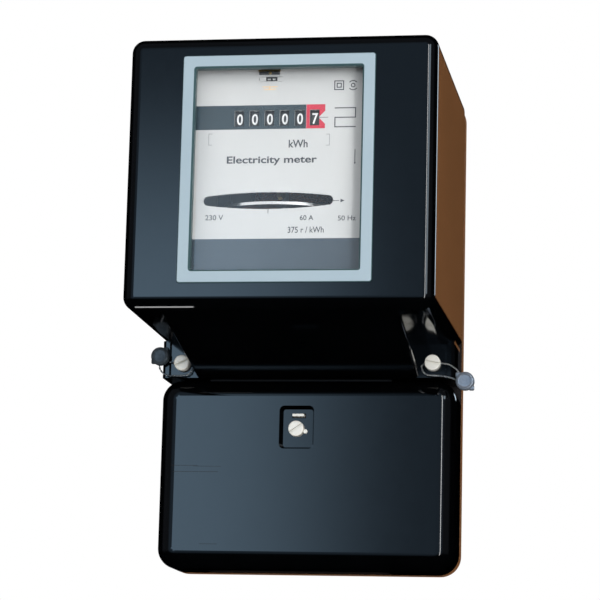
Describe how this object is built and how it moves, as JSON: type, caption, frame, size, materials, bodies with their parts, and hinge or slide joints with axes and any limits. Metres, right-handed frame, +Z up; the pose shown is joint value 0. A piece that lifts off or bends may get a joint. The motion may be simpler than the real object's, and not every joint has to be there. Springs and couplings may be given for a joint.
{
  "type": "electricity meter",
  "caption": "Wall-mounted induction electricity meter: deep moulded case with a window on a dial, number drums and turning disc, and a removable terminal cover.",
  "frame": {"origin": "in the wall plane, at the middle of the case's width, level with the seam region between meter cover and terminals", "axes": "+Y into the wall, +Z up, +X to the right seen from the front"},
  "size_m": [0.1419, 0.1188, 0.2135],
  "materials": {
    "brown_moulding": "glossy phenolic moulding",
    "black_moulding": "glossy black moulding",
    "frame_plastic": "satin light grey",
    "pane": "clear glass",
    "seal_rubber": "matte",
    "block_moulding": "matte black moulding",
    "brass": "turned and pressed",
    "nickel": "nickel plated",
    "steel": "machined",
    "casting": "as cast",
    "rotor_sheet": "polished sheet",
    "lamination": "stacked sheet, lacquered",
    "magnet": "cast magnet alloy",
    "copper": "enamelled copper",
    "dial_paint": "satin white enamel",
    "drum_plastic": "matte black",
    "lead": "pressed lead",
    "wire": "twisted sealing wire"
  },
  "bodies": {
    "case": {"base_plate": "brown_moulding", "hanging_lug": "steel", "cover_gasket": "seal_rubber", "meter_cover": "black_moulding", "cover_screws": "nickel", "seal_wire_left": "wire", "seal_wire_right": "wire", "lead_seal_left": "lead", "lead_seal_right": "lead", "window_frame": "frame_plastic", "window_pane": "pane", "pane_seal": "seal_rubber", "terminal_block": "block_moulding", "line_terminals": "brass", "neutral_terminal": "brass", "terminal_screws": "nickel", "block_screws": "nickel", "voltage_link": "brass", "link_screws": "nickel", "sealing_strip": "brass", "movement_frame": "casting", "frame_screws": "steel", "voltage_core": "lamination", "voltage_bobbin": "block_moulding", "voltage_coil": "copper", "current_core": "lamination", "current_coil": "copper", "current_straps": "copper", "magnet_bracket": "casting", "brake_magnet": "magnet", "lower_bearing": "steel", "upper_bearing": "steel", "register_frame": "steel", "drum_axle": "steel", "pinion_axle": "steel", "dial_plate": "dial_paint", "dial_screws": "steel", "dial_clip": "brass"},
    "rotor": {"rotor_spindle": "steel", "rotor_disc": "rotor_sheet", "worm": "steel"},
    "feed_train": {"worm_wheel": "brass", "feed_shaft": "steel"},
    "middle_train": {"middle_wheel": "brass", "middle_shaft": "steel"},
    "drum_1": {"number_drum_1": "drum_plastic"},
    "drum_2": {"number_drum_2": "drum_plastic"},
    "drum_3": {"number_drum_3": "drum_plastic"},
    "drum_4": {"number_drum_4": "drum_plastic"},
    "drum_5": {"number_drum_5": "drum_plastic"},
    "drum_6": {"number_drum_6": "drum_plastic"},
    "pinion_1": {"transfer_pinion_1": "drum_plastic"},
    "pinion_2": {"transfer_pinion_2": "drum_plastic"},
    "pinion_3": {"transfer_pinion_3": "drum_plastic"},
    "pinion_4": {"transfer_pinion_4": "drum_plastic"},
    "pinion_5": {"transfer_pinion_5": "drum_plastic"},
    "terminal_cover": {"terminal_cover": "black_moulding"},
    "cover_screw": {"terminal_cover_screw": "nickel"}
  },
  "joints": [
    {"name": "rotor_turn", "type": "hinge", "parent": "case", "child": "rotor", "pos_m": [-0.006, -0.066, 0.0385], "axis": [0, 0, 1], "continuous": true},
    {"name": "feed_turn", "type": "hinge", "parent": "case", "child": "feed_train", "pos_m": [0, -0.0785, 0.056], "axis": [1, 0, 0], "continuous": true},
    {"name": "middle_turn", "type": "hinge", "parent": "case", "child": "middle_train", "pos_m": [0, -0.09051, 0.06319], "axis": [1, 0, 0], "continuous": true},
    {"name": "drum_6_turn", "type": "hinge", "parent": "case", "child": "drum_6", "pos_m": [0, -0.0969, 0.07335], "axis": [1, 0, 0], "continuous": true},
    {"name": "drum_5_turn", "type": "hinge", "parent": "case", "child": "drum_5", "pos_m": [0, -0.0969, 0.07335], "axis": [1, 0, 0], "continuous": true},
    {"name": "drum_4_turn", "type": "hinge", "parent": "case", "child": "drum_4", "pos_m": [0, -0.0969, 0.07335], "axis": [1, 0, 0], "continuous": true},
    {"name": "drum_3_turn", "type": "hinge", "parent": "case", "child": "drum_3", "pos_m": [0, -0.0969, 0.07335], "axis": [1, 0, 0], "continuous": true},
    {"name": "drum_2_turn", "type": "hinge", "parent": "case", "child": "drum_2", "pos_m": [0, -0.0969, 0.07335], "axis": [1, 0, 0], "continuous": true},
    {"name": "drum_1_turn", "type": "hinge", "parent": "case", "child": "drum_1", "pos_m": [0, -0.0969, 0.07335], "axis": [1, 0, 0], "continuous": true},
    {"name": "pinion_5_turn", "type": "hinge", "parent": "case", "child": "pinion_5", "pos_m": [0, -0.08948, 0.08077], "axis": [1, 0, 0], "continuous": true},
    {"name": "pinion_4_turn", "type": "hinge", "parent": "case", "child": "pinion_4", "pos_m": [0, -0.08948, 0.08077], "axis": [1, 0, 0], "continuous": true},
    {"name": "pinion_3_turn", "type": "hinge", "parent": "case", "child": "pinion_3", "pos_m": [0, -0.08948, 0.08077], "axis": [1, 0, 0], "continuous": true},
    {"name": "pinion_2_turn", "type": "hinge", "parent": "case", "child": "pinion_2", "pos_m": [0, -0.08948, 0.08077], "axis": [1, 0, 0], "continuous": true},
    {"name": "pinion_1_turn", "type": "hinge", "parent": "case", "child": "pinion_1", "pos_m": [0, -0.08948, 0.08077], "axis": [1, 0, 0], "continuous": true},
    {"name": "cover_lift", "type": "slide", "parent": "case", "child": "terminal_cover", "axis": [0, -1, 0], "range_m": [0, 0.06]},
    {"name": "screw_turn", "type": "hinge", "parent": "terminal_cover", "child": "cover_screw", "pos_m": [-0.0044, -0.03, -0.0454], "axis": [0, -1, 0], "continuous": true}
  ],
  "couplings": [
    {"joint": "feed_turn", "follows": "rotor_turn", "ratio": -0.02},
    {"joint": "middle_turn", "follows": "rotor_turn", "ratio": 0.008},
    {"joint": "drum_6_turn", "follows": "rotor_turn", "ratio": -0.0026667},
    {"joint": "drum_5_turn", "follows": "rotor_turn", "ratio": -0.00026667},
    {"joint": "drum_4_turn", "follows": "rotor_turn", "ratio": -0.000026667},
    {"joint": "drum_3_turn", "follows": "rotor_turn", "ratio": -0.0000026667},
    {"joint": "drum_2_turn", "follows": "rotor_turn", "ratio": -0.00000026667},
    {"joint": "drum_1_turn", "follows": "rotor_turn", "ratio": -0.000000026667},
    {"joint": "pinion_5_turn", "follows": "rotor_turn", "ratio": 0.00066667},
    {"joint": "pinion_4_turn", "follows": "rotor_turn", "ratio": 0.000066667},
    {"joint": "pinion_3_turn", "follows": "rotor_turn", "ratio": 0.0000066667},
    {"joint": "pinion_2_turn", "follows": "rotor_turn", "ratio": 0.00000066667},
    {"joint": "pinion_1_turn", "follows": "rotor_turn", "ratio": 0.000000066667}
  ]
}
